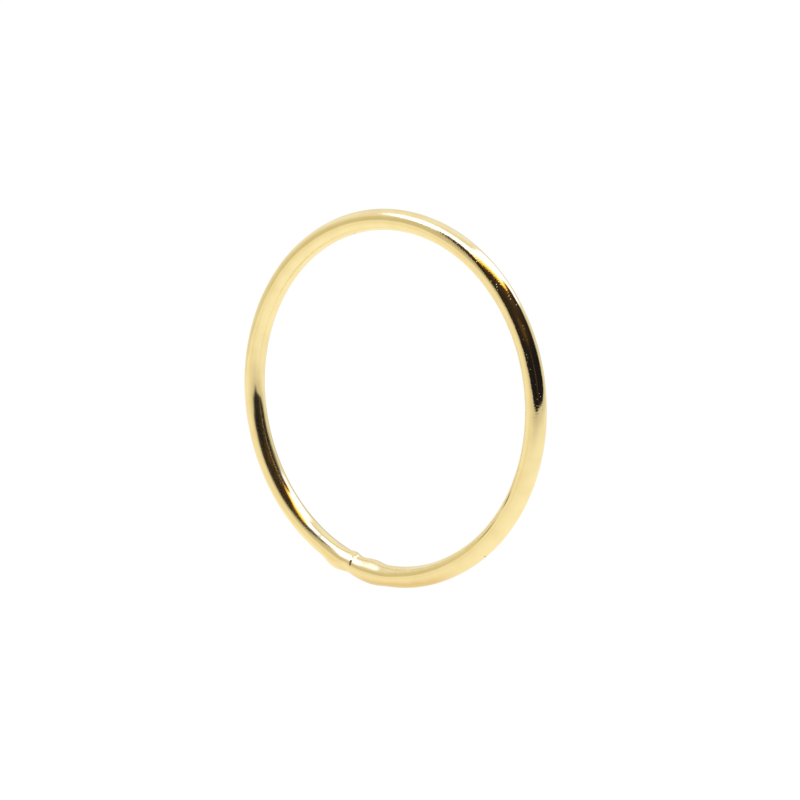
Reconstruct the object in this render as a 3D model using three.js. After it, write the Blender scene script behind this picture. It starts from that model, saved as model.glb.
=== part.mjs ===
// A plain finger ring: one length of round gold-coloured wire, bent to a circle,
// its two ends soldered together and filed, and the whole polished.
//
// Millimetres. The ring lies on its side: +Z is the ring's own axis, z = 0 is the surface
// that it lies on, and the soldered joint is at -Y.

import * as THREE from "three";

// Driving dimensions.
const WIRE_DIAMETER = 1.05; // round wire of about 18 gauge
const FINGER_DIAMETER = 16.65; // the clear hole, about a US 6 1/4
const JOINT_DIRECTION = -90; // where the joint is, in degrees about +Z from +X

// The fineness of the solid. 18 sides leave one flat side underneath and one on top.
const SECTION_SIDES = 18;
const RING_STEPS = 240;

// The bent wire's centre line, and the corners of a section as large as the round wire's.
const BEND_RADIUS = (FINGER_DIAMETER + WIRE_DIAMETER) / 2;
const SIDE_ANGLE = (2 * Math.PI) / SECTION_SIDES;
const CORNER_RADIUS =
  (WIRE_DIAMETER / 2) * Math.sqrt(SIDE_ANGLE / Math.sin(SIDE_ANGLE));
const CENTRE_HEIGHT = CORNER_RADIUS * Math.cos(SIDE_ANGLE / 2);

// The wire's second end, just past the joint, was soldered on a little outside the circle,
// and comes back to it over the next stretch of the ring.
const STEP_OUT = { height: 0.055, starts: -3, full: 5, leaves: 16, back: 45 };

// Bent by hand, the circle is very slightly three-cornered. Its centre line stands this far
// outside the true circle at each corner, and as far inside it between the corners.
const OUT_OF_ROUND = { height: 0.014, corners: 3, firstCorner: 14.5 };

// What the solder and the file left at the joint. "along" and "alongReach" are degrees of
// the ring, counted from the joint, anticlockwise seen from above. "around" and
// "aroundReach" are degrees of the wire's section: 0 is outermost, 90 on top, 180 innermost.
// A lump is "height" mm proud at its middle and runs out at its reach; a filed place is a lump
// below the surface. None of them reaches the flat underside, at 260 to 280, so the ring lies
// level.
const LUMPS = [
  { name: "outer bead", along: -6.8, alongReach: 6.2, around: 15, aroundReach: 85, height: 0.15 },
  {
    name: "outer collar", along: 1.5, alongReach: 5.5,
    around: -15, aroundReach: 65, height: 0.07,
  },
  { name: "outer swelling", along: 8, alongReach: 7.5, around: 15, aroundReach: 85, height: 0.07 },
  { name: "file groove", along: -1, alongReach: 2.5, around: 60, aroundReach: 70, height: -0.04 },
  {
    name: "first inner bead", along: -1.4, alongReach: 2.8,
    around: 198, aroundReach: 50, height: 0.055,
  },
  {
    name: "second inner bead", along: 7.3, alongReach: 6.2,
    around: 198, aroundReach: 62, height: 0.1,
  },
  {
    name: "filed flat", along: -0.5, alongReach: 11.5,
    around: 133, aroundReach: 50, height: -0.07,
  },
  {
    name: "second filed flat", along: 11, alongReach: 11.5,
    around: 130, aroundReach: 48, height: -0.056,
  },
  {
    name: "solder swelling", along: 4.5, alongReach: 17,
    around: 125, aroundReach: 92, height: 0.09,
  },
  { name: "thick end", along: 16, alongReach: 30, around: 90, aroundReach: 165, height: 0.022 },
  {
    name: "thick stretch", along: -18, alongReach: 27,
    around: 192, aroundReach: 62, height: 0.02,
  },
  {
    name: "thick inside", along: -44, alongReach: 42,
    around: 212, aroundReach: 47, height: 0.03,
  },
];

// The distance between two directions, in degrees, the short way round.
function angleBetween(a, b) {
  const turn = THREE.MathUtils.euclideanModulo(a - b, 360);
  return Math.min(turn, 360 - turn);
}

// 1 at the middle of a lump, running out in a smooth wave to 0 at its reach.
function runOut(distance, reach) {
  return distance < reach ? (1 + Math.cos((Math.PI * distance) / reach)) / 2 : 0;
}

// How far the wire's centre line stands outside the circle, this many degrees past the joint.
function stepOut(pastJoint) {
  const { height, starts, full, leaves, back } = STEP_OUT;
  const rise = THREE.MathUtils.smoothstep(pastJoint, starts, full);
  const fall = THREE.MathUtils.smoothstep(pastJoint, leaves, back);
  return height * (rise - fall);
}

// How far the hand-bent centre line stands outside the true circle, this far past the joint.
function outOfRound(pastJoint) {
  const { height, corners, firstCorner } = OUT_OF_ROUND;
  return height * Math.cos(THREE.MathUtils.degToRad(corners * (pastJoint - firstCorner)));
}

// How proud of the plain wire the surface stands at one place on the ring.
function lumpHeight(along, around) {
  let height = 0;
  for (const lump of LUMPS) {
    const middle = JOINT_DIRECTION + lump.along;
    height +=
      lump.height *
      runOut(angleBetween(along, middle), lump.alongReach) *
      runOut(angleBetween(around, lump.around), lump.aroundReach);
  }
  return height;
}

// The ring: a torus whose every point is moved to its place on the worked wire.
function wireBand() {
  const geometry = new THREE.TorusGeometry(
    BEND_RADIUS,
    CORNER_RADIUS,
    SECTION_SIDES,
    RING_STEPS,
  );
  const { position, uv } = geometry.attributes;
  for (let i = 0; i < position.count; i++) {
    const along = uv.getX(i) * 360;
    const around = uv.getY(i) * 360;
    const alongRadians = THREE.MathUtils.degToRad(along);
    const aroundRadians = THREE.MathUtils.degToRad(around);
    const pastJoint = THREE.MathUtils.euclideanModulo(along - JOINT_DIRECTION + 180, 360) - 180;
    const wireRadius = CORNER_RADIUS + lumpHeight(along, around);
    const bendRadius = BEND_RADIUS + outOfRound(pastJoint) + stepOut(pastJoint);
    const fromAxis = bendRadius + wireRadius * Math.cos(aroundRadians);
    position.setXYZ(
      i,
      fromAxis * Math.cos(alongRadians),
      fromAxis * Math.sin(alongRadians),
      CENTRE_HEIGHT + wireRadius * Math.sin(aroundRadians),
    );
  }
  geometry.computeVertexNormals();
  return geometry;
}

const polishedGold = new THREE.MeshStandardMaterial({
  name: "polished gold",
  color: 0xf3dc98,
  roughness: 0.12,
  metalness: 1,
});

const band = new THREE.Mesh(wireBand(), polishedGold);
band.name = "wire_band";

const ring = new THREE.Group();
ring.name = "finger_ring";
ring.add(band);

export default ring;
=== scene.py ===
"""A plain finger ring of round gold-filled wire, lying on its side on a white floor."""

from math import cos, pi, radians, sin

import bpy
import numpy as np
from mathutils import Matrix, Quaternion, Vector


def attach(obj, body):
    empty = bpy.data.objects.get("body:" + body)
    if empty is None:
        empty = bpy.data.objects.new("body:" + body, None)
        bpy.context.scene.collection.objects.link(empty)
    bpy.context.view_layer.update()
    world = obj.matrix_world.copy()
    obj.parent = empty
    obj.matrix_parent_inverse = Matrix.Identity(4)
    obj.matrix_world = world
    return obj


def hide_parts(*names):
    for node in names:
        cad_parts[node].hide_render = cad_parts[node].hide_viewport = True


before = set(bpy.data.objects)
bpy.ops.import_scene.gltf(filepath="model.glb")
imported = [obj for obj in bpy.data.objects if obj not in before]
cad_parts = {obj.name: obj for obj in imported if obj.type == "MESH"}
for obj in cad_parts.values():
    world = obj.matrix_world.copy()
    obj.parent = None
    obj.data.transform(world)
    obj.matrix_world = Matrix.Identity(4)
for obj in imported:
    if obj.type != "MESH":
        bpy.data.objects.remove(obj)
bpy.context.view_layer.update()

# ------------------------------------------------------------------------------- camera
# A long lens looks down at the ring from 51 degrees above the floor. The camera is turned on
# its side, so that the ring seems to stand, with its axis running across the picture.

MM = 0.001
WIRE_RADIUS = 0.525 * MM
BEND_RADIUS = 8.85 * MM
ring_centre = Vector((0, 0, WIRE_RADIUS))

CAMERA_AZIMUTH = radians(26.72)
CAMERA_ELEVATION = radians(51.13)
CAMERA_ROLL = radians(-99.57)
CAMERA_DISTANCE = 15.096 * BEND_RADIUS
AIM_PAST_CENTRE = (0.515 * MM, -0.075 * MM)
SENSOR_WIDTH = 36
LENS = 121.83

towards_camera = Vector((
    cos(CAMERA_ELEVATION) * cos(CAMERA_AZIMUTH),
    cos(CAMERA_ELEVATION) * sin(CAMERA_AZIMUTH),
    sin(CAMERA_ELEVATION),
))
camera_turn = towards_camera.to_track_quat("Z", "Y") @ Quaternion((0, 0, 1), CAMERA_ROLL)
camera_right = camera_turn @ Vector((1, 0, 0))
camera_up = camera_turn @ Vector((0, 1, 0))

camera = bpy.data.objects.new("camera", bpy.data.cameras.new("camera"))
camera.data.sensor_width = SENSOR_WIDTH
camera.data.lens = LENS
camera.data.clip_start = 5 * MM
camera.data.clip_end = 20.0
camera.rotation_mode = "QUATERNION"
camera.rotation_quaternion = camera_turn
camera.location = (
    ring_centre
    + AIM_PAST_CENTRE[0] * camera_right
    + AIM_PAST_CENTRE[1] * camera_up
    + CAMERA_DISTANCE * towards_camera
)
bpy.context.scene.collection.objects.link(camera)
bpy.context.scene.camera = camera
bpy.context.scene.view_settings.view_transform = "Standard"


# ------------------------------------------------------------------------ the floor
# A white board, far larger than the ring. It is left out of the ring's polish, where only the
# light tent shows.

def mesh_piece(name, points, faces, material):
    """A mesh object from an (n, 3) array of points and a list or array of faces."""
    mesh = bpy.data.meshes.new(name)
    mesh.from_pydata(points.tolist(), [], faces.tolist())
    mesh.materials.append(material)
    piece = bpy.data.objects.new(name, mesh)
    bpy.context.scene.collection.objects.link(piece)
    return piece


FLOOR_REACH = 3.0
FLOOR_WHITE = 0.92

floor_paint = bpy.data.materials.new("white board")
floor_paint.use_nodes = True
board_shader = floor_paint.node_tree.nodes["Principled BSDF"]
board_shader.inputs["Base Color"].default_value = (FLOOR_WHITE, FLOOR_WHITE, FLOOR_WHITE, 1)
board_shader.inputs["Roughness"].default_value = 1.0
board_shader.inputs["Specular IOR Level"].default_value = 0.0

corners = np.array([(-1, -1, 0), (1, -1, 0), (1, 1, 0), (-1, 1, 0)]) * FLOOR_REACH
floor = mesh_piece("floor", corners, np.array([(0, 1, 2, 3)]), floor_paint)
floor.visible_glossy = False


# --------------------------------------------------------------------- the light tent
# A small white cloth tent, lit from outside, stands close round the ring and is seen only in
# its polish. Its light is laid out in the tent's own map: the picture that a small mirror ball
# in the ring's place would show the camera, from -1 to 1 across and up.

TENT_RADIUS = 8 * BEND_RADIUS
TENT_RINGS = 240
TENT_SEGMENTS = 480
CURVE_STEPS = 6


def smooth_rise(value, start, end):
    """0 at start, 1 at end, flat beyond them, and a smooth curve between."""
    t = np.clip((value - start) / (end - start), 0, 1)
    return t * t * (3 - 2 * t)


def smooth_loop(corners):
    """A closed smooth curve through a few corners, as many more points. Between two corners it
    is the cubic whose slope at each is half the way from the corner before to the one after."""
    start = np.array(corners)[:, None]
    end = np.roll(start, -1, axis=0)
    leave = (end - np.roll(start, 1, axis=0)) / 2
    arrive = np.roll(leave, -1, axis=0)
    t = np.linspace(0, 1, CURVE_STEPS, endpoint=False)[None, :, None]
    blend = t * t * (3 - 2 * t)
    bend = t * (1 - t)
    curve = start * (1 - blend) + end * blend + bend * ((1 - t) * leave - t * arrive)
    return curve.reshape(-1, 2)


def inside_depth(x, y, corners):
    """How deep each point lies inside the smooth loop through the corners, in the map's units;
    negative outside. The distance is the least to any short straight of the loop. A point is
    inside if a line to its right crosses those straights an odd number of times."""
    nearest = np.full(x.shape, np.inf)
    inside = np.zeros(x.shape, bool)
    loop = smooth_loop(corners)
    for (ax, ay), (bx, by) in zip(loop, np.roll(loop, -1, axis=0)):
        dx, dy = bx - ax, by - ay
        t = np.clip(((x - ax) * dx + (y - ay) * dy) / (dx * dx + dy * dy), 0, 1)
        nearest = np.minimum(nearest, np.hypot(x - ax - t * dx, y - ay - t * dy))
        crosses = (ay > y) != (by > y)
        if dy:
            inside ^= crosses & (x < ax + (y - ay) * dx / dy)
    return np.where(inside, nearest, -nearest)


def blob(x, y, oval):
    """1 in the middle of a soft oval: exp(-(across / reach)^2 - (up / reach)^2), where across
    and up are the distances along its own two axes, turned by its tilt in degrees."""
    tilt = radians(oval["tilt"])
    off_x, off_y = x - oval["centre"][0], y - oval["centre"][1]
    across = off_x * cos(tilt) + off_y * sin(tilt)
    up = off_y * cos(tilt) - off_x * sin(tilt)
    return np.exp(-((across / oval["reach"][0]) ** 2) - (up / oval["reach"][1]) ** 2)[..., None]


# The tent's opening, where the dark room shows, and two things just above it: a lamp-lit
# warm board and the bright window behind that.
OPENING = [
    (-0.43, 0.09), (-0.41, 0.02), (-0.38, -0.025), (-0.32, -0.059), (-0.25, -0.078),
    (-0.165, -0.102), (0.0, -0.122), (0.12, -0.122), (0.25, -0.10), (0.47, -0.065),
    (0.60, -0.035), (0.70, 0.03),
    (0.718, 0.10), (0.697, 0.185), (0.677, 0.255), (0.64, 0.34), (0.592, 0.412), (0.55, 0.462),
    (0.47, 0.498), (0.40, 0.51), (0.35, 0.50), (0.315, 0.44), (0.25, 0.408), (0.14, 0.402),
    (0.02, 0.394), (-0.10, 0.362), (-0.20, 0.322), (-0.23, 0.35), (-0.24, 0.405), (-0.30, 0.41),
    (-0.36, 0.365), (-0.383, 0.31), (-0.415, 0.19),
]
WARM_BOARD = [
    (-0.30, 0.28), (-0.285, 0.355), (-0.22, 0.37), (-0.165, 0.41), (-0.11, 0.455), (0.0, 0.488),
    (0.12, 0.507), (0.22, 0.502), (0.30, 0.495), (0.35, 0.53), (0.42, 0.548), (0.50, 0.535),
    (0.52, 0.46), (0.40, 0.40), (0.0, 0.33), (-0.20, 0.27),
]
WINDOW = [
    (-0.42, 0.365), (-0.47, 0.42), (-0.455, 0.51), (-0.42, 0.575), (-0.35, 0.595), (-0.28, 0.605),
    (-0.21, 0.61), (-0.14, 0.605), (-0.06, 0.575), (0.02, 0.575), (0.10, 0.60), (0.19, 0.65),
    (0.28, 0.69), (0.38, 0.71), (0.48, 0.69), (0.56, 0.65), (0.61, 0.60), (0.635, 0.53),
    (0.61, 0.46), (0.49, 0.44), (0.30, 0.42), (0.0, 0.34), (-0.18, 0.34), (-0.21, 0.42),
    (-0.29, 0.44), (-0.37, 0.40),
]
BOARD_EDGE = 0.012  # half the width of its soft edge, and so for the next two
WINDOW_EDGE, WINDOW_EDGE_UPPER_RIGHT = 0.025, 0.07
OPENING_EDGE, OPENING_EDGE_LEFT = 0.008, 0.030
DAYLIGHT = np.array([1.6, 1.9, 3.3])

# The warm board's light, at each distance from the opening's edge.
WARM_STEPS = (0.0, 0.012, 0.03, 0.065, 0.10)
WARM_RED = (0.24, 0.72, 1.18, 1.25, 1.3)
WARM_GREEN = (0.08, 0.35, 0.88, 1.18, 1.4)
WARM_BLUE = (0.02, 0.05, 0.17, 0.42, 1.0)

# The cloth is lit from outside, a little more low down, and is shaded in three places. A shade
# is the share of red, green and blue that it takes away.
CLOTH_LIGHT, LESS_HIGH_UP = 1.04, 0.06
SHADE_BY_OPENING = np.array([0.31, 0.33, 0.36])
SHADE_ALONG_TOP = np.array([0.11, 0.11, 0.08])
SHADE_BEHIND_RING = 0.16
WALL_ABOVE_TABLE = dict(
    centre=(-0.66, 0.17), reach=(0.23, 0.30), tilt=0, change=(-0.29, -0.33, -0.47),
)
# Ovals of the cloth that are brighter or darker. Their change is a share too.
CLOTH_OVALS = (
    dict(name="top fold", centre=(-0.05, 0.76), reach=(0.32, 0.05), tilt=0,
         change=(0.12, 0.15, 0.18)),
    dict(name="its left end", centre=(-0.29, 0.64), reach=(0.09, 0.04), tilt=-10,
         change=(0.25, 0.28, 0.30)),
    dict(name="upper left", centre=(-0.58, 0.68), reach=(0.16, 0.14), tilt=0,
         change=(0.10, 0.16, 0.32)),
    dict(name="left of window", centre=(-0.51, 0.415), reach=(0.05, 0.025), tilt=0,
         change=(0.12, 0.15, 0.2)),
    dict(name="right of window", centre=(0.66, 0.50), reach=(0.06, 0.08), tilt=0,
         change=(0.25, 0.28, 0.4)),
    dict(name="upper right", centre=(0.40, 0.85), reach=(0.30, 0.13), tilt=0,
         change=(0.07, 0.13, 0.25)),
    dict(name="far right", centre=(0.87, 0.32), reach=(0.06, 0.14), tilt=0,
         change=(-0.13, -0.11, -0.07)),
    dict(name="below the table", centre=(-0.50, -0.12), reach=(0.12, 0.09), tilt=0,
         change=(-0.07, -0.11, -0.25)),
    dict(name="lower left", centre=(-0.68, -0.23), reach=(0.10, 0.10), tilt=0,
         change=(-0.04, -0.09, -0.24)),
)

# The dark room beyond the opening, brown in its upper part, and what gleams in it.
ROOM_LIGHT = np.array([0.013, 0.013, 0.020])
ROOM_BROWN = np.array([0.018, 0.010, 0.002])
ROOM_OVALS = (
    dict(name="glow", centre=(0.12, 0.19), reach=(0.15, 0.045), tilt=12,
         light=(0.080, 0.040, 0.003)),
    dict(name="lit edge", centre=(0.21, 0.04), reach=(0.13, 0.018), tilt=110,
         light=(0.136, 0.068, 0.0051)),
    dict(name="long faint glow", centre=(0.05, 0.32), reach=(0.30, 0.05), tilt=10,
         light=(0.024, 0.012, 0.0009)),
    dict(name="under the board", centre=(0.20, 0.37), reach=(0.14, 0.05), tilt=10,
         light=(0.040, 0.020, 0.0015)),
    dict(name="by the window", centre=(-0.32, 0.38), reach=(0.07, 0.09), tilt=0,
         light=(0.05, 0.04, 0.025)),
)


def cloth_light(x, y, to_opening):
    """The cloth's light, as red, green and blue, at places x, y that lie to_opening from the
    opening. Next to it the shade falls off as exp(-(to_opening / reach)^2)."""
    height = y[..., None]
    cloth = CLOTH_LIGHT - LESS_HIGH_UP * smooth_rise(height, -0.6, -0.2) * np.ones(3)
    reach = 0.09 + 0.05 * smooth_rise(height, -0.12, 0.0)
    cloth *= 1 - np.exp(-((to_opening / reach) ** 2)) * SHADE_BY_OPENING
    above_table = smooth_rise(height, -0.045, 0.005)
    wall = above_table * blob(x, y, WALL_ABOVE_TABLE)
    cloth *= 1 + wall * np.array(WALL_ABOVE_TABLE["change"])
    cloth *= 1 - smooth_rise(height, 0.5, 0.62) * SHADE_ALONG_TOP
    for oval in CLOTH_OVALS:
        cloth *= 1 + blob(x, y, oval) * np.array(oval["change"])
    # What the map shows near its rim is behind the ring. It darkens there in two steps.
    off_middle = np.hypot(x, y)
    behind = smooth_rise(off_middle, 0.89, 0.94) + smooth_rise(off_middle, 0.95, 0.98)
    upper_right = smooth_rise(x, 0.2, 0.4) * smooth_rise(y, 0.0, 0.2)
    return cloth * (1 - (SHADE_BEHIND_RING * behind * upper_right)[..., None])


def room_light(x, y):
    """The dark room's light, as red, green and blue, at places x, y."""
    brown = smooth_rise(y - 0.3 * x, 0.0, 0.25)[..., None]
    room = ROOM_LIGHT + ROOM_BROWN * brown
    for oval in ROOM_OVALS:
        room = room + blob(x, y, oval) * np.array(oval["light"])
    return room


def laid_over(light, cover, other):
    """The light with another laid over it, where cover goes from 0 to 1."""
    return light * (1 - cover[..., None]) + other * cover[..., None]


def tent_light(x, y):
    """The tent's light, as red, green and blue, at places x, y of its map: the cloth, over it
    the window, the warm board, and the opening with the room. The edges of the window and the
    opening are softer in one part, the window's on its upper right and the opening's left."""
    depth = inside_depth(x, y, OPENING)
    light = cloth_light(x, y, np.minimum(depth, 0)[..., None])

    upper_right = smooth_rise(x, 0.28, 0.45) * smooth_rise(y, 0.5, 0.6)
    edge = WINDOW_EDGE + (WINDOW_EDGE_UPPER_RIGHT - WINDOW_EDGE) * upper_right
    light = laid_over(light, smooth_rise(inside_depth(x, y, WINDOW), -edge, edge), DAYLIGHT)

    bands = (WARM_RED, WARM_GREEN, WARM_BLUE)
    warm = np.stack([np.interp(-depth, WARM_STEPS, band) for band in bands], -1)
    board = smooth_rise(inside_depth(x, y, WARM_BOARD), -BOARD_EDGE, BOARD_EDGE)
    light = laid_over(light, board, warm)

    left = smooth_rise(-x, 0.34, 0.42) * smooth_rise(y, -0.02, 0.08)
    edge = OPENING_EDGE + (OPENING_EDGE_LEFT - OPENING_EDGE) * left
    return laid_over(light, smooth_rise(depth, -edge, edge), room_light(x, y))


def light_tent():
    """A sphere round the ring, as rings of points about the line to the camera. A direction
    at angle t from that line shows in the map at radius sin(t / 2)."""
    t = np.linspace(0, pi, TENT_RINGS + 1)[1:-1, None]
    turn = np.linspace(0, 2 * pi, TENT_SEGMENTS, endpoint=False)[None, :]
    map_x = (np.sin(t / 2) * np.cos(turn)).ravel()
    map_y = (np.sin(t / 2) * np.sin(turn)).ravel()
    axes = np.array([camera_right, camera_up, towards_camera])
    local = np.stack(
        [np.sin(t) * np.cos(turn), np.sin(t) * np.sin(turn), np.cos(t) + 0 * turn], -1,
    )
    points = local.reshape(-1, 3) @ axes
    ring = np.arange((TENT_RINGS - 2) * TENT_SEGMENTS).reshape(TENT_RINGS - 2, TENT_SEGMENTS)
    following = np.roll(ring, -1, axis=1)
    quads = np.stack(
        [ring, ring + TENT_SEGMENTS, following + TENT_SEGMENTS, following], -1,
    ).reshape(-1, 4)
    front, back = len(points), len(points) + 1
    first = np.arange(TENT_SEGMENTS)
    last = first + (TENT_RINGS - 2) * TENT_SEGMENTS
    front_cap = np.stack([np.full(TENT_SEGMENTS, front), first, np.roll(first, -1)], -1)
    back_cap = np.stack([np.full(TENT_SEGMENTS, back), np.roll(last, -1), last], -1)
    points = np.vstack([points, np.array(towards_camera), -np.array(towards_camera)])
    colours = tent_light(np.append(map_x, [0.0, 1.0]), np.append(map_y, [0.0, 0.0]))
    faces = quads.tolist() + front_cap.tolist() + back_cap.tolist()
    mesh = bpy.data.meshes.new("light_tent")
    mesh.from_pydata((points * TENT_RADIUS).tolist(), [], faces)
    stored = mesh.attributes.new("tent_light", "FLOAT_VECTOR", "POINT")
    stored.data.foreach_set("vector", colours.astype(np.float32).ravel())
    return mesh


tent_cloth = bpy.data.materials.new("lit cloth")
tent_cloth.use_nodes = True
tent_cloth.node_tree.nodes.clear()
cloth_output = tent_cloth.node_tree.nodes.new("ShaderNodeOutputMaterial")
cloth_emission = tent_cloth.node_tree.nodes.new("ShaderNodeEmission")
cloth_map = tent_cloth.node_tree.nodes.new("ShaderNodeAttribute")
cloth_map.attribute_name = "tent_light"
tent_cloth.node_tree.links.new(cloth_map.outputs["Vector"], cloth_emission.inputs["Color"])
tent_cloth.node_tree.links.new(cloth_emission.outputs["Emission"], cloth_output.inputs["Surface"])
tent_cloth.cycles.emission_sampling = "NONE"

tent_mesh = light_tent()
tent_mesh.materials.append(tent_cloth)
tent = bpy.data.objects.new("light_tent", tent_mesh)
bpy.context.scene.collection.objects.link(tent)
tent.visible_camera = False
tent.visible_diffuse = False
tent.visible_shadow = False

# The room outside the tent is plain white light, which the floor and the picture's edges see.
ROOM_STRENGTH = 1.12

world = bpy.data.worlds.new("white room")
world.use_nodes = True
world.node_tree.nodes["Background"].inputs["Color"].default_value = (1, 1, 1, 1)
world.node_tree.nodes["Background"].inputs["Strength"].default_value = ROOM_STRENGTH
world.cycles_visibility.glossy = False
bpy.context.scene.world = world


# --------------------------------------------------------------------- the wire band
# One length of 1.05 mm round gold-filled wire, bent to a circle on a mandrel and soldered end
# to end. The second end stands a little outside the circle, and the file left the joint lumpy.
# Places on it are degrees "along" the ring from the joint, anticlockwise seen from above, and
# degrees "around" the wire: 0 is outermost, 90 on top, 180 innermost. Heights are mm.

RING_STATIONS = 1200
SECTION_POINTS = 80
CROWDING = 0.7
JOINT_DIRECTION = radians(-90)

STEP_OUT = dict(height=0.055, starts=-3, full=5, leaves=16, back=45)
OUT_OF_ROUND = dict(height=0.014, corners=3, first_corner=14.5)
# What the solder and the file left, and where the wire is thicker. A filed place is a lump of
# negative height. The last two are finer than the solid's facets, so only the scene has them.
LUMPS = (
    dict(name="outer bead", along=-6.8, along_reach=6.2, around=15, around_reach=85, height=0.15),
    dict(name="outer collar", along=1.5, along_reach=5.5, around=-15, around_reach=65,
         height=0.07),
    dict(name="outer swelling", along=8, along_reach=7.5, around=15, around_reach=85,
         height=0.07),
    dict(name="file groove", along=-1, along_reach=2.5, around=60, around_reach=70,
         height=-0.04),
    dict(name="first inner bead", along=-1.4, along_reach=2.8, around=198, around_reach=50,
         height=0.055),
    dict(name="second inner bead", along=7.3, along_reach=6.2, around=198, around_reach=62,
         height=0.10),
    dict(name="filed flat", along=-0.5, along_reach=11.5, around=133, around_reach=50,
         height=-0.07),
    dict(name="second filed flat", along=11, along_reach=11.5, around=130, around_reach=48,
         height=-0.056),
    dict(name="solder swelling", along=4.5, along_reach=17, around=125, around_reach=92,
         height=0.09),
    dict(name="thick end", along=16, along_reach=30, around=90, around_reach=165, height=0.022),
    dict(name="thick stretch", along=-18, along_reach=27, around=192, around_reach=62,
         height=0.02),
    dict(name="thick inside", along=-44, along_reach=42, around=212, around_reach=47,
         height=0.03),
    dict(name="solder pimple", along=0.6, along_reach=1.1, around=168, around_reach=46,
         height=0.04),
    dict(name="pinhole", along=0.5, along_reach=0.5, around=112, around_reach=18, height=-0.02),
)


def run_out(distance, reach):
    """1 in the middle, falling in half a cosine wave to 0 at the reach."""
    return (1 + np.cos(pi * np.clip(distance / reach, 0, 1))) / 2


def patch(along, around, place):
    """1 at a place on the wire, given in degrees, running out to 0 at its reach each way."""
    off_along = np.abs((along - place["along"] + 180) % 360 - 180)
    off_around = np.abs((around - place["around"] + 180) % 360 - 180)
    return run_out(off_along, place["along_reach"]) * run_out(off_around, place["around_reach"])


def wire_band(along, around):
    """The ring's surface over its two angles, in degrees. A point lies at the bend radius, plus
    the step at the joint, plus the wire's radius and the lumps there times cos(around), from
    the axis, and as high as the wire's radius plus that same length times sin(around). The
    bend radius swells and shrinks a little, as a cosine."""
    radius = np.full((RING_STATIONS, SECTION_POINTS), WIRE_RADIUS)
    for lump in LUMPS:
        radius += lump["height"] * MM * patch(along, around, lump)
    step = STEP_OUT["height"] * MM * (
        smooth_rise(along, STEP_OUT["starts"], STEP_OUT["full"])
        - smooth_rise(along, STEP_OUT["leaves"], STEP_OUT["back"])
    )
    swell = OUT_OF_ROUND["height"] * MM * np.cos(
        OUT_OF_ROUND["corners"] * np.radians(along - OUT_OF_ROUND["first_corner"])
    )
    from_axis = BEND_RADIUS + step + swell + radius * np.cos(np.radians(around))
    direction = JOINT_DIRECTION + np.radians(along)
    return np.stack([
        from_axis * np.cos(direction),
        from_axis * np.sin(direction),
        WIRE_RADIUS + radius * np.sin(np.radians(around)),
    ], -1)


def closed_grid(stations, places):
    """Quads over a grid that closes on itself both ways, from station to station."""
    station = np.arange(stations)[:, None] * places
    place = np.arange(places)[None, :]
    next_station = np.roll(station, -1, axis=0)
    next_place = np.roll(place, -1, axis=1)
    return np.stack([
        station + place, next_station + place, next_station + next_place, station + next_place,
    ], -1).reshape(-1, 4)


# The stations crowd at the joint: along = t - CROWDING * sin(t), with t in equal steps.
station_turn = np.linspace(-pi, pi, RING_STATIONS + 1)
edges_along = np.degrees(station_turn - CROWDING * np.sin(station_turn))
edges_around = np.linspace(0, 360, SECTION_POINTS + 1)
along, around = np.meshgrid(edges_along[:-1], edges_around[:-1], indexing="ij")

# The finish is polished gold, with a fine grain that is strongest on one outer stretch, pits
# that sparkle there, faint lines drawn along the wire, soft dents, a few dark marks and patches
# of deeper, warmer gold. The dark of the pinhole and its foot is painted shade in the hole. The
# wire's inner side is duller and has no grain or pits, but is brighter just before the joint.
# Sizes across the surface are mm, and heights are thousandths of a mm.
GOLD = (0.955, 0.79, 0.405, 1)
DEEP_GOLD = (0.76, 0.54, 0.21, 1)
# The colour the marks darken towards. At the pinhole and its foot it is painted shade in the
# hole.
MARK_DARK = (0.06, 0.045, 0.025, 1)
PLAIN_ROUGHNESS = 0.065
DULL_ROUGHNESS = 0.14
ROUGHNESS_IN_MARKS = 0.4
BRUSHED = 1.0
GRAIN_SIZE, GRAIN_HEIGHT = 0.065, 4.5
PIT_SPACING, PIT_RADIUS, PIT_HEIGHT = 0.18, 0.034, -12.0
LINES_AROUND, LINE_LENGTH, LINE_HEIGHT = 60, 3.0, 1.2
DENT_SIZE, DENT_HEIGHT = 1.6, 20.0
BLOTCHES_PER_MM, BLOTCH_STRENGTH = 1.1, 0.18
MARK_MIDDLE = 0.2  # how much of a mark's reach its middle takes up, before it runs out

GRAINY = dict(along=155, along_reach=66, around=60, around_reach=62)
PITTED = dict(along=145, along_reach=48, around=48, around_reach=52)
GRAIN_ELSEWHERE, PITS_ELSEWHERE = 0.2, 0.1
# Patches where the gold is deeper and warmer, each as strong as given.
DEEPER_GOLD_PATCHES = (
    dict(along=20, along_reach=30, around=30, around_reach=55, strength=1.1),
    dict(along=15, along_reach=60, around=-5, around_reach=55, strength=0.6),
    dict(along=20, along_reach=45, around=58, around_reach=45, strength=0.4),
    dict(along=78, along_reach=55, around=66, around_reach=50, strength=0.12),
)
MOST_DEEP_PATCHES = 1.25
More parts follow.
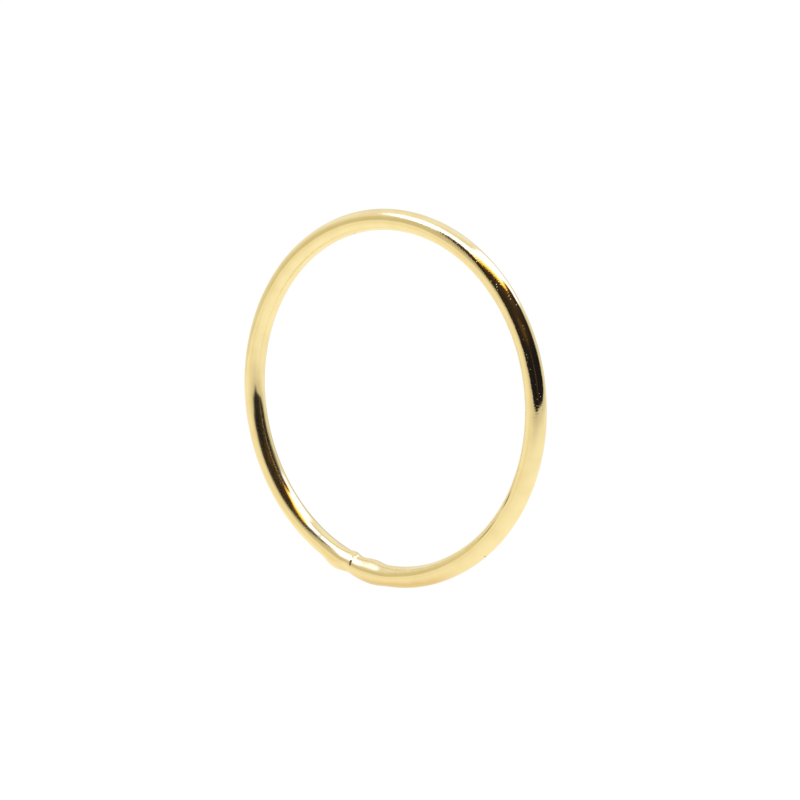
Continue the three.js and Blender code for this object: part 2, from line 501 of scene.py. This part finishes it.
# Marks that dent, darken and dull the wire. The darkening at the pinhole and its foot is painted
# shade in the hole.
MARKS = (
    dict(name="pinhole", along=0.3, along_reach=0.55, around=119, around_reach=13,
         height=0, stain_and_shade=1),
    dict(name="its foot", along=0.7, along_reach=0.5, around=105, around_reach=14,
         height=0, stain_and_shade=1),
    dict(name="dull spot", along=-15.5, along_reach=1.1, around=140, around_reach=20,
         height=0, stain_and_shade=0.25),
    dict(name="dark pit", along=54.2, along_reach=0.35, around=12, around_reach=8,
         height=-8, stain_and_shade=1),
    dict(name="nick", along=-163.6, along_reach=0.4, around=30, around_reach=32,
         height=-2.5, stain_and_shade=0),
    dict(name="scratch", along=75.5, along_reach=5, around=112.5, around_reach=5,
         height=-1.5, stain_and_shade=0.9),
    dict(name="fainter scratch", along=61.5, along_reach=8.5, around=111, around_reach=5,
         height=-1.5, stain_and_shade=0.6),
    dict(name="speck", along=-150.7, along_reach=0.5, around=168, around_reach=9,
         height=-1, stain_and_shade=0.4),
)

off_outermost = np.abs((around + 180) % 360 - 180)
inner_side = smooth_rise(off_outermost, 90, 120)
before_joint = smooth_rise(along, -42, -36) * (1 - smooth_rise(along, -6, 6))
brighter = 0.6 * before_joint * smooth_rise(off_outermost, 118, 142)
grainy = GRAIN_ELSEWHERE + (1 - GRAIN_ELSEWHERE) * patch(along, around, GRAINY)
pitted = PITS_ELSEWHERE + (1 - PITS_ELSEWHERE) * patch(along, around, PITTED)
deep_patches = sum(place["strength"] * patch(along, around, place) for place in DEEPER_GOLD_PATCHES)
finish_numbers = {
    "dull": inner_side * (1 - brighter),
    "grainy": grainy * (1 - inner_side),
    "pitted": pitted * (1 - inner_side),
    "deep_patches": np.minimum(deep_patches, MOST_DEEP_PATCHES),
}

gold = bpy.data.materials.new("polished gold")
gold.use_nodes = True
gold_shader = gold.node_tree.nodes["Principled BSDF"]
gold_shader.inputs["Metallic"].default_value = 1.0
gold_shader.inputs["Anisotropic"].default_value = BRUSHED
gold_shader.inputs["Anisotropic Rotation"].default_value = 0.25


def gold_node(kind, label, settings, inputs):
    """A node of the gold. An input is a plain value, or another node's socket to link from."""
    node = gold.node_tree.nodes.new("ShaderNode" + kind)
    node.label = label
    for setting, value in settings.items():
        setattr(node, setting, value)
    for socket, value in inputs.items():
        if isinstance(value, bpy.types.NodeSocket):
            gold.node_tree.links.new(value, node.inputs[socket])
        else:
            node.inputs[socket].default_value = value
    return node


def gold_sum(label, operation, first, second):
    """The socket of a sum, product or other of two numbers or sockets."""
    node = gold_node("Math", label, {"operation": operation}, {0: first, 1: second})
    return node.outputs["Value"]


def kept(name, socket="Fac"):
    """The socket of what the mesh keeps for each point under this name."""
    return gold_node("Attribute", name, {"attribute_name": name}, {}).outputs[socket]


place_on_ring = gold_node("TexCoord", "place", {}, {}).outputs["Object"]
ring_map = gold_node("UVMap", "angles", {"uv_map": "angles"}, {}).outputs["UV"]

grain = gold_node("TexNoise", "grain", {}, {
    "Vector": place_on_ring, "Scale": 1000 / GRAIN_SIZE, "Detail": 1.0,
}).outputs["Fac"]
relief = gold_sum("grain height", "MULTIPLY", grain, GRAIN_HEIGHT)
relief = gold_sum("grain where it is worn", "MULTIPLY", relief, kept("grainy"))

pits = gold_node("TexVoronoi", "pits", {}, {
    "Vector": place_on_ring, "Scale": 1000 / PIT_SPACING,
})
pit_depth = gold_node("MapRange", "pit", {"interpolation_type": "SMOOTHSTEP"}, {
    "Value": pits.outputs["Distance"], "From Min": 0.0, "From Max": PIT_RADIUS / PIT_SPACING,
    "To Min": PIT_HEIGHT, "To Max": 0.0,
}).outputs["Result"]
pit_depth = gold_sum("pits where it is worn", "MULTIPLY", pit_depth, kept("pitted"))
relief = gold_sum("with pits", "ADD", relief, pit_depth)

# The drawn lines are noise on a ring of the section and along the wire, so they close up.
line_step = (LINES_AROUND / (2 * pi), LINES_AROUND / (2 * pi), 0)
section = gold_node("VectorMath", "lines apart", {"operation": "MULTIPLY"}, {
    0: kept("section", "Vector"), 1: line_step,
}).outputs["Vector"]
stretched = gold_node("VectorMath", "lines long", {"operation": "MULTIPLY_ADD"}, {
    0: place_on_ring, 1: (1000 / LINE_LENGTH,) * 3, 2: section,
}).outputs["Vector"]
lines = gold_node("TexNoise", "drawn lines", {}, {
    "Vector": stretched, "Scale": 1.0, "Detail": 2.0,
}).outputs["Fac"]
line_height = gold_sum("line height", "MULTIPLY", lines, LINE_HEIGHT)
relief = gold_sum("with lines", "ADD", relief, line_height)

dents = gold_node("TexNoise", "soft dents", {}, {
    "Vector": place_on_ring, "Scale": 1000 / DENT_SIZE, "Detail": 1.0,
}).outputs["Fac"]
dent_height = gold_sum("dent height", "MULTIPLY", dents, DENT_HEIGHT)
relief = gold_sum("with dents", "ADD", relief, dent_height)

# Each mark is an oval on the UV map, given by its distance from the middle in reaches.
stain_and_shade = 0.0
for mark in MARKS:
    middle = (mark["along"] / 360 + 0.5, mark["around"] / 360, 0)
    per_reach = (360 / mark["along_reach"], 360 / mark["around_reach"], 0)
    off = gold_node("VectorMath", mark["name"], {"operation": "SUBTRACT"}, {
        0: ring_map, 1: middle,
    })
    off = gold_node("VectorMath", "in reaches", {"operation": "MULTIPLY"}, {
        0: off.outputs["Vector"], 1: per_reach,
    })
    off = gold_node("VectorMath", "distance", {"operation": "LENGTH"}, {
        0: off.outputs["Vector"],
    })
    shape = gold_node("MapRange", "run out", {"interpolation_type": "SMOOTHSTEP"}, {
        "Value": off.outputs["Value"], "From Min": MARK_MIDDLE, "From Max": 1.0,
        "To Min": 1.0, "To Max": 0.0,
    }).outputs["Result"]
    if mark["height"]:
        mark_height = gold_sum("mark height", "MULTIPLY", shape, mark["height"])
        relief = gold_sum("with mark", "ADD", relief, mark_height)
    if mark["stain_and_shade"]:
        mark_stain_and_shade = gold_sum("mark stain", "MULTIPLY", shape, mark["stain_and_shade"])
        stain_and_shade = gold_sum("with stain", "ADD", stain_and_shade, mark_stain_and_shade)

bump = gold_node("Bump", "relief", {}, {
    "Height": relief, "Distance": 0.001 * MM, "Strength": 1.0,
})
gold.node_tree.links.new(bump.outputs["Normal"], gold_shader.inputs["Normal"])

along_wire = gold_node("Tangent", "along the wire", {
    "direction_type": "UV_MAP", "uv_map": "angles",
}, {})
gold.node_tree.links.new(along_wire.outputs["Tangent"], gold_shader.inputs["Tangent"])

blotches = gold_node("TexNoise", "blotches", {}, {
    "Vector": place_on_ring, "Scale": 1000 * BLOTCHES_PER_MM, "Detail": 2.0,
}).outputs["Fac"]
blotchy = gold_node("MapRange", "how blotchy", {}, {
    "Value": blotches, "From Min": 0.4, "From Max": 0.7, "To Min": 0.0, "To Max": BLOTCH_STRENGTH,
}).outputs["Result"]
deepened = gold_sum("tarnish and blotches", "ADD", blotchy, kept("deep_patches"))
colour = gold_node("MixRGB", "deeper gold", {}, {
    "Fac": deepened, "Color1": GOLD, "Color2": DEEP_GOLD,
})
# Darker in the marks. At the pinhole and its foot this is painted shade in the hole.
colour = gold_node("MixRGB", "darker in marks", {}, {
    "Fac": stain_and_shade, "Color1": colour.outputs["Color"], "Color2": MARK_DARK,
})
gold.node_tree.links.new(colour.outputs["Color"], gold_shader.inputs["Base Color"])

roughness = gold_node("MapRange", "duller inside", {}, {
    "Value": kept("dull"), "From Min": 0.0, "From Max": 1.0,
    "To Min": PLAIN_ROUGHNESS, "To Max": DULL_ROUGHNESS,
}).outputs["Result"]
roughness_in_marks = gold_sum("stain_and_shade", "MULTIPLY", stain_and_shade, ROUGHNESS_IN_MARKS)
roughness = gold_sum("duller in marks", "ADD", roughness, roughness_in_marks)
gold.node_tree.links.new(roughness, gold_shader.inputs["Roughness"])

band = mesh_piece(
    "gold_wire_band",
    wire_band(along, around).reshape(-1, 3),
    closed_grid(RING_STATIONS, SECTION_POINTS),
    gold,
)
band.data.shade_smooth()
for name, values in finish_numbers.items():
    band.data.attributes.new(name, "FLOAT", "POINT").data.foreach_set(
        "value", values.astype(np.float32).ravel()
    )
section = np.stack([np.cos(np.radians(around)), np.sin(np.radians(around)), 0 * around], -1)
band.data.attributes.new("section", "FLOAT_VECTOR", "POINT").data.foreach_set(
    "vector", section.astype(np.float32).ravel()
)
# The piece's UV map: the two angles, each from 0 to 1, for every corner of every quad.
near, far = edges_along[:-1, None] / 360 + 0.5, edges_along[1:, None] / 360 + 0.5
low, high = edges_around[None, :-1] / 360, edges_around[None, 1:] / 360
quad_map = np.stack(np.broadcast_arrays(near, low, far, low, far, high, near, high), -1)
band.data.uv_layers.new(name="angles").data.foreach_set("uv", quad_map.astype(np.float32).ravel())

band.visible_diffuse = False
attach(band, "root")
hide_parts("wire_band")
